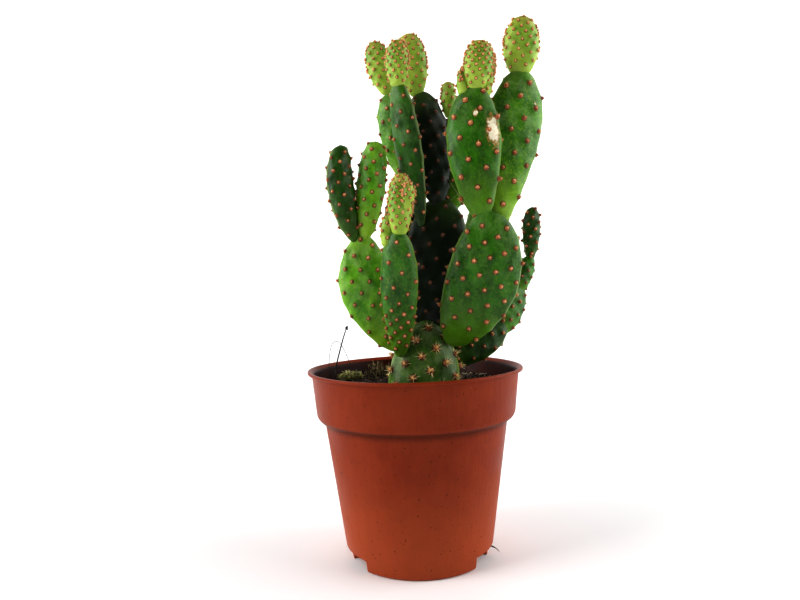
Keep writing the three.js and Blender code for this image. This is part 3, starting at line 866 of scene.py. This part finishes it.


# Each skin's name, its deep, middle and light green, its bloom and painted sheen with their
# share, and its tip's colour with that one's share.
SKINS = {
    "old": ("old_skin", "#2a5218", "#507828", "#8a9a38", "#a8b488", 0.4, "#64803a", 0.2),
    # Near-black: painted shade for the pads deep in the middle, lighter towards the tip, which
    # rises out of the shade.
    "inner": ("inner_skin", "#020a02", "#071a04", "#122808", "#2c4424", 0.2, "#4a682c", 0.5),
    "mature": ("mature_skin", "#1c4c04", "#327206", "#709c12", "#84a85c", 0.34, "#7a9a48", 0.1),
    "shaded": ("shaded_skin", "#123604", "#205006", "#4c7410", "#6c864c", 0.3, "#5c7c2e", 0.1),
    "shaded_foot": (
        "shaded_foot_skin", "#1a4604", "#306a06", "#0e2c04", "#7a9c58", 0.4, "#6e8e3c", 0.2
    ),
    "waxy": ("waxy_skin", "#2e680c", "#528e18", "#a8cc38", "#9ab67c", 0.45, "#88a858", 0.2),
    # A lit copy of the skin, painted lighter, for pads that face the light.
    "painted_lit": ("bright_skin", "#42860f", "#70b01e", "#a0c02c", "#b4c88c", 0.4, "#98ae48", 0.3),
    "young": ("young_skin", "#6c9c2a", "#a0bc4a", "#b4c850", "#b8c07c", 0.35, "#c8a054", 0.45),
}
skins = {word: cactus_skin(*settings) for word, settings in SKINS.items()}

# How many glochids each kind of tuft has, their length, and how far they lean out.
TUFTS = {
    "grown": (9, (0.2, 0.42), 1.0),
    "young": (12, (0.3, 0.6), 1.3),
    "old": (18, (0.35, 0.75), 1.45),
    "inner": (7, (0.2, 0.4), 1.0),
}
rng = random.Random(11)
tufts_of = {}
for kind, (bristles, length, spread_out) in TUFTS.items():
    tufts_of[kind] = [areole_tuft(bristles, length, rng, spread_out) for _ in range(TUFT_KINDS)]

# The cushion, the glochids on it and its darker foot: partly rust felt, partly painted shade.
felts = {
    "grown": [bristle_felt("areole_felt", "#f0c088", "#d09458", 0.85),
              bristle_felt("tan_glochids", "#eebc80", "#c88448", 0.7),
              bristle_felt("rust_and_shade_felt", "#c27442", "#8a4622", 0.9)],
    "young": [bristle_felt("young_felt", "#f6c88c", "#e09c60", 0.85),
              bristle_felt("orange_glochids", "#fac898", "#e69c60", 0.7),
              bristle_felt("ruddy_and_shade_felt", "#e6a062", "#c27840", 0.9)],
    # Dim tufts for the inner pads: painted shade.
    "inner": [bristle_felt("painted_shade_felt", "#a06a40", "#6c3c20", 0.85),
              bristle_felt("painted_shade_glochids", "#9c683c", "#5c3018", 0.7),
              bristle_felt("painted_shade_rust", "#6c3818", "#40200e", 0.9)],
    "old": [bristle_felt("old_felt", "#fad890", "#e0a458", 0.85),
            bristle_felt("straw_glochids", "#fbf0c0", "#f0c880", 0.7),
            bristle_felt("brown_and_shade_felt", "#c07840", "#80481f", 0.9)],
}

# The centre pads on the inner skin, with their dim tufts, are painted in shade.
# Skin, how far apart the areoles stand near the base and near the tip, and a tuft's width, in mm.
PADS = {
    "stem_pad": ("old", 8.5, 7, 3.3),
    "centre_low_pad": ("inner", 7, 7, 2.0),
    "front_left_pad": ("mature", 3.5, 7, 1.9),
    # The left middle pad and the inner left finger take the lit copy of the skin, painted lighter.
    "left_mid_pad": ("painted_lit", 6.5, 5.8, 1.9),
    "right_mid_pad": ("mature", 7, 6.2, 2.3),
    "left_rear_pad": ("inner", 6.5, 6.5, 1.9),
    "rear_low_pad": ("shaded", 6, 6, 1.9),
    "right_low_pad": ("shaded", 5.5, 5.5, 1.9),
    "right_low_tip_pad": ("mature", 4.5, 4.5, 1.8),
    "rear_right_pad": ("waxy", 6, 6, 1.9),
    "left_tall_pad": ("shaded_foot", 5.5, 5.5, 1.8),
    "centre_mid_pad": ("inner", 6, 6, 1.8),
    "centre_right_pad": ("mature", 6, 6, 1.8),
    "left_back_pad": ("waxy", 6, 5.5, 1.8),
    "left_finger_outer": ("shaded", 4.8, 4.3, 1.7),
    "left_finger_inner": ("painted_lit", 4.6, 4.3, 1.8),
    "right_front_pad": ("mature", 7.8, 7.2, 2.4),
    "right_back_pad": ("waxy", 7.6, 7.6, 2.4),
    "side_low_pad": ("mature", 3.6, 3.6, 1.4),
    "side_tip_pad": ("shaded", 4, 3.6, 1.7),
}
BUDS = [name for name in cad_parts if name.endswith("_bud")]
CROWDED = (
    "left_tall_bud",
    "right_front_bud",
    "right_front_rear_bud",
    "front_bud",
    "front_side_bud",
)
for name in BUDS:
    PADS[name] = ("young", 2.7, 2.0, 1.25) if name in CROWDED else ("young", 3.5, 3.0, 1.35)

# A healed wound: how far along the pad and across it, its half length and half width in mm, and
# 1 on the front or -1 on the back.
SCARS = {
    "right_front_pad": [(0.63, 0.74, 8.2, 3.6, 1), (0.77, 0.12, 2.0, 1.2, 1)],
    "right_back_pad": [(0.77, 0.6, 0.9, 0.9, 1)],
}

SPIRAL_SHIFT = 0.17  # of a turn, from each pad's spiral to the next one's
RIM_SPACING = 1.9  # between the tufts that crowd along a bud's rim
RIM_FROM = 0.35  # of a bud's length
RIM_LENGTH = 0.62
BUD_MOUND = 0.3
PAD_MOUND = 0.45
TUFT_RISE = 0.9  # of the mound's height

for order, (node, (skin, low_mm, high_mm, tuft_mm)) in enumerate(PADS.items()):
    form = PadForm(node)
    is_bud = skin == "young"
    spots = form.areoles(low_mm, high_mm, SPIRAL_SHIFT * order)
    if is_bud:
        crowd = int(form.length / MM / RIM_SPACING)
        for i in range(crowd):
            for edge in (0, math.pi):
                at = RIM_FROM + RIM_LENGTH * (i + rng.random()) / crowd
                spots.append((at, edge + rng.uniform(-0.25, 0.25)))
    mound_mm = BUD_MOUND if is_bud else PAD_MOUND
    piece = make_pad(node, form, spots, mound_mm, tuft_mm, skins[skin], SCARS.get(node, []))
    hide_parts(node)

    tufts = bmesh.new()
    kind = skin if skin in TUFTS else "grown"
    for at, angle in spots:
        out = Vector(form.normal(at, angle))
        size = tuft_mm * MM * rng.uniform(0.85, 1.15)
        place = Vector(form.point(at, angle)) + out * (mound_mm * TUFT_RISE * MM)
        lean = (out + 0.25 * Vector(form.along)).normalized()
        turn = lean.to_track_quat("Z", "Y").to_matrix().to_4x4()
        spin = Matrix.Rotation(rng.uniform(0, 2 * math.pi), 4, "Z")
        grow = Matrix.Scale(size, 4)
        add_copy(tufts, rng.choice(tufts_of[kind]), Matrix.Translation(place) @ turn @ spin @ grow)
    tuft_piece = make_piece(node + "_tufts", tufts, felts[kind], 55)

# ---- Moss --------------------------------------------------------------------------------------
# A cushion of dry olive moss on the mix at the left: a crowd of short leafy shoots.
moss_low, moss_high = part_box("moss_cushion")
MOSS_SHOOTS = 150
SHOOT_KINDS = 5
SHOOT_LEAVES = 6
LEAF_LENGTH = 0.55  # of the shoot's height, as the next three are
LEAF_OUT = 0.27  # a leaf's middle, from the shoot's
LEAF_SPACING = 0.14
LEAVES_FROM = -0.3  # from the shoot's middle
LEAF_LEAN = 0.9  # radians
LEAF_TURN = 2.4  # radians, from each leaf to the next


def living_moss(name, pale, dark):
    """Dry moss: matt olive, patchily yellow."""
    material = new_material(name)
    place = add_node(material, "TexCoord", output="Object")
    tufted = add_node(material, "TexNoise", place, 1 / (1.2 * MM), 3, 0.55)
    share = add_node(material, "MapRange", tufted, 0.35, 0.65, 0, 1, **SMOOTH)
    tone = add_node(material, "Mix", share, srgb(dark), srgb(pale), **COLOUR)
    return finish_surface(material, Base_Color=tone, Roughness=0.9, Sheen_Weight=0.2)


def moss_shoot(rng):
    """One shoot, a unit high, with narrow leaves all round."""
    bm = bmesh.new()
    bmesh.ops.create_cone(bm, segments=3, radius1=0.09, radius2=0.03, depth=1)
    for i in range(SHOOT_LEAVES):
        leaf = bmesh.ops.create_cone(bm, segments=3, radius1=0.09, radius2=0.0, depth=LEAF_LENGTH)
        turn = Matrix.Rotation(LEAF_TURN * i + rng.random(), 4, "Z")
        turn = turn @ Matrix.Rotation(LEAF_LEAN, 4, "Y")
        place = Matrix.Translation((0, 0, LEAVES_FROM + LEAF_SPACING * i)) @ turn
        place = place @ Matrix.Translation((0, 0, LEAF_OUT))
        bmesh.ops.transform(bm, matrix=place, verts=leaf["verts"])
    bmesh.ops.translate(bm, vec=(0, 0, 0.5), verts=bm.verts)
    return finished_mesh("shoot", bm)


rng = random.Random(5)
shoots = [moss_shoot(rng) for _ in range(SHOOT_KINDS)]
moss_middle = (moss_low + moss_high) / 2
moss_half = (moss_high - moss_low) / 2
moss_bm = bmesh.new()
for _ in range(MOSS_SHOOTS):
    angle = rng.uniform(0, 2 * math.pi)
    out = math.sqrt(rng.random())
    x = moss_middle.x + moss_half.x * out * math.cos(angle)
    y = moss_middle.y + moss_half.y * out * math.sin(angle)
    dome = moss_half.z * math.sqrt(max(0.0, 1 - out * out))
    tall = rng.uniform(1.3, 2.9) * MM
    lean = Vector((math.cos(angle) * out, math.sin(angle) * out, 1.2)).normalized()
    foot = Vector((x, y, soil_height(x, y) + 0.55 * dome))
    turn = lean.to_track_quat("Z", "Y").to_matrix().to_4x4()
    add_copy(moss_bm, rng.choice(shoots), Matrix.Translation(foot) @ turn @ Matrix.Scale(tall, 4))
moss = make_piece("moss_shoots", moss_bm, [living_moss("dry_moss", "#d8cf84", "#5c662a")])
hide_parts("moss_cushion")

# ---- Dry stems ---------------------------------------------------------------------------------
# A dead grass stalk with a small seed head, a looped hair-thin thread, and two strands of old
# silk between the upper pads. They stand in the mix or cling to the skin.
STALK_RADIUS = 0.3
STALK_STEPS = 6
STALK_BOW = 0.9
STALK_WAVE = 0.15
HEAD_RADIUS = 0.8
HEAD_HEIGHT = 1.2
SEEDS = 9
SEED_RADIUS = 0.36
SEED_SWING = 0.32  # from the head's middle
SEED_TURN = 2.4  # radians, from each seed to the next
straw = dry_fibre("dry_straw", "#5b534c", "#2c2723")
stalk_low, stalk_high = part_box("dry_stalk")
foot = Vector((stalk_low.x + 0.4 * MM, (stalk_low.y + stalk_high.y) / 2, soil_high.z - 3 * MM))
head = Vector((stalk_high.x - HEAD_RADIUS * MM, foot.y, stalk_high.z - HEAD_RADIUS * MM))
stalk_line = [foot.lerp(head, i / STALK_STEPS) for i in range(STALK_STEPS + 1)]
for i, point in enumerate(stalk_line):
    bow = STALK_BOW * MM * math.sin(math.pi * i / STALK_STEPS)
    point.x -= bow - STALK_WAVE * MM * math.sin(i * 2.1)
stalk = strands("dead_stalk", [stalk_line], STALK_RADIUS, straw, roundness=2, taper=0.75)
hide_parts("dry_stalk")

head_bm = bmesh.new()
for i in range(SEEDS):
    seed = bmesh.ops.create_icosphere(head_bm, subdivisions=1, radius=SEED_RADIUS * MM)
    swing = Vector((math.cos(SEED_TURN * i), math.sin(SEED_TURN * i), 0)) * SEED_SWING * MM
    rise = Vector((0, 0, (i / SEEDS - 0.5) * HEAD_HEIGHT * MM))
    place = Matrix.Translation(head + swing + rise)
    bmesh.ops.transform(head_bm, matrix=place, verts=seed["verts"])
seed_head = make_piece("seed_head", head_bm, [straw])

# The thread's loop, up and over from its left foot, as shares of its width and height.
THREAD_TURNS = [
    (0.02, 0),
    (0.0, 0.35),
    (0.04, 0.7),
    (0.18, 0.97),
    (0.45, 0.98),
    (0.66, 0.82),
    (1, 0.4),
    (0.95, 0),
]
thread_low, thread_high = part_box("dry_thread")
thread_y = (thread_low.y + thread_high.y) / 2
thread_size = thread_high - thread_low
thread_line = []
for across, up in THREAD_TURNS:
    x = thread_low.x + across * thread_size.x
    z = thread_low.z - MM + up * (thread_size.z + MM)
    thread_line.append(Vector((x, thread_y, z)))
thread = strands("looped_thread", [thread_line], 0.13, straw, taper=0.9)
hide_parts("dry_thread")


def skin_spot(node, at, angle):
    """A place on a pad's skin, at that share of its length and that angle round it."""
    return Vector(PadForm(node).point(at, angle))


SILK_SAG = 0.8
silk = dry_fibre("pale_silk", "#d9cfb4", "#a89c80")
silk_lines = [
    [skin_spot("right_front_pad", 0.22, 2.6), skin_spot("centre_right_pad", 0.1, 4.2)],
    [skin_spot("right_front_pad", 0.06, 2.9), skin_spot("centre_mid_pad", 0.25, 0.9)],
]
for line in silk_lines:
    line.insert(1, line[0].lerp(line[1], 0.5) - Vector((0, 0, SILK_SAG * MM)))
silks = strands("silk_strands", silk_lines, 0.07, silk, roundness=0, taper=0.8)

# ---- Floor, light and camera -------------------------------------------------------------------
# A plain white floor that runs back to white, a broad soft light from the front left, a weaker
# one from the right, and a close hand-held camera.
FLOOR_HALF = 4.0  # metres, as the sizes and places of the cards and lamps are
FLOOR_GAP = 0.05
floor_bm = bmesh.new()
bmesh.ops.create_grid(floor_bm, x_segments=1, y_segments=1, size=FLOOR_HALF)
bmesh.ops.translate(floor_bm, vec=(0, 0, -FLOOR_GAP * MM), verts=floor_bm.verts)
floor = new_object("floor", finished_mesh("floor", floor_bm))
floor_paint = finish_surface(new_material("white_card"), Base_Color=srgb("#f7f7f7"), Roughness=0.7)
floor.data.materials.append(floor_paint)

SKY_STRENGTH = 1.5
world = bpy.data.worlds.new("studio")
bpy.context.scene.world = world
world.use_nodes = True
world.node_tree.nodes["Background"].inputs["Color"].default_value = (1, 1, 1, 1)
world.node_tree.nodes["Background"].inputs["Strength"].default_value = SKY_STRENGTH

# Black cards behind the camera and overhead keep flat light off the plant. The camera doesn't
# see them.
flag_paint = finish_surface(new_material("black_card"), Base_Color=srgb("#060606"), Roughness=0.9)


def black_card(name, width, height, turn, place):
    """A black card of that width and height, turned and then put in its place, in metres."""
    bm = bmesh.new()
    bmesh.ops.create_grid(bm, x_segments=1, y_segments=1, size=0.5)
    bmesh.ops.scale(bm, vec=(width, height, 1), verts=bm.verts)
    bmesh.ops.transform(bm, matrix=Matrix.Translation(place) @ turn, verts=bm.verts)
    card = new_object(name, finished_mesh(name, bm))
    card.data.materials.append(flag_paint)
    card.visible_camera = False


black_card("front_card", 1.5, 1.2, Matrix.Rotation(math.pi / 2, 4, "X"), (0, -0.5, 0.65))
black_card("top_card", 0.9, 0.9, Matrix.Identity(4), (0, -0.05, 0.75))


def soft_light(name, place, aim, size, watts):
    """A round lamp of that width, in metres, that faces its aim."""
    lamp = bpy.data.lights.new(name, "AREA")
    lamp.shape = "DISK"
    lamp.size = size
    lamp.energy = watts
    holder = new_object(name, lamp)
    holder.location = place
    holder.rotation_mode = "QUATERNION"
    holder.rotation_quaternion = (Vector(aim) - Vector(place)).to_track_quat("-Z", "Y")


PLANT_MIDDLE = (0.01, 0, 0.11)
soft_light("key", (-0.8, -0.4, 0.5), PLANT_MIDDLE, 0.9, 12)
soft_light("right_fill", (0.8, -0.1, 0.4), PLANT_MIDDLE, 0.9, 6)

CAMERA_PLACE = (-5.05 * MM, -241.6 * MM, 103.53 * MM)
SENSOR_WIDTH = 36
CAMERA_LENS = 27.23
NEAREST_SEEN = 0.01
CAMERA_DIP = 0.016  # radians, as the roll is
CAMERA_ROLL = 0.030
VIEW_GAMMA = 0.78
camera_data = bpy.data.cameras.new("camera")
camera_data.sensor_width = SENSOR_WIDTH
camera_data.lens = CAMERA_LENS
camera_data.clip_start = NEAREST_SEEN
camera = new_object("camera", camera_data)
aim = Matrix.Rotation(math.pi / 2 - CAMERA_DIP, 4, "X") @ Matrix.Rotation(-CAMERA_ROLL, 4, "Z")
camera.matrix_world = Matrix.Translation(CAMERA_PLACE) @ aim
bpy.context.scene.camera = camera
bpy.context.scene.view_settings.view_transform = "Standard"
bpy.context.scene.view_settings.gamma = VIEW_GAMMA
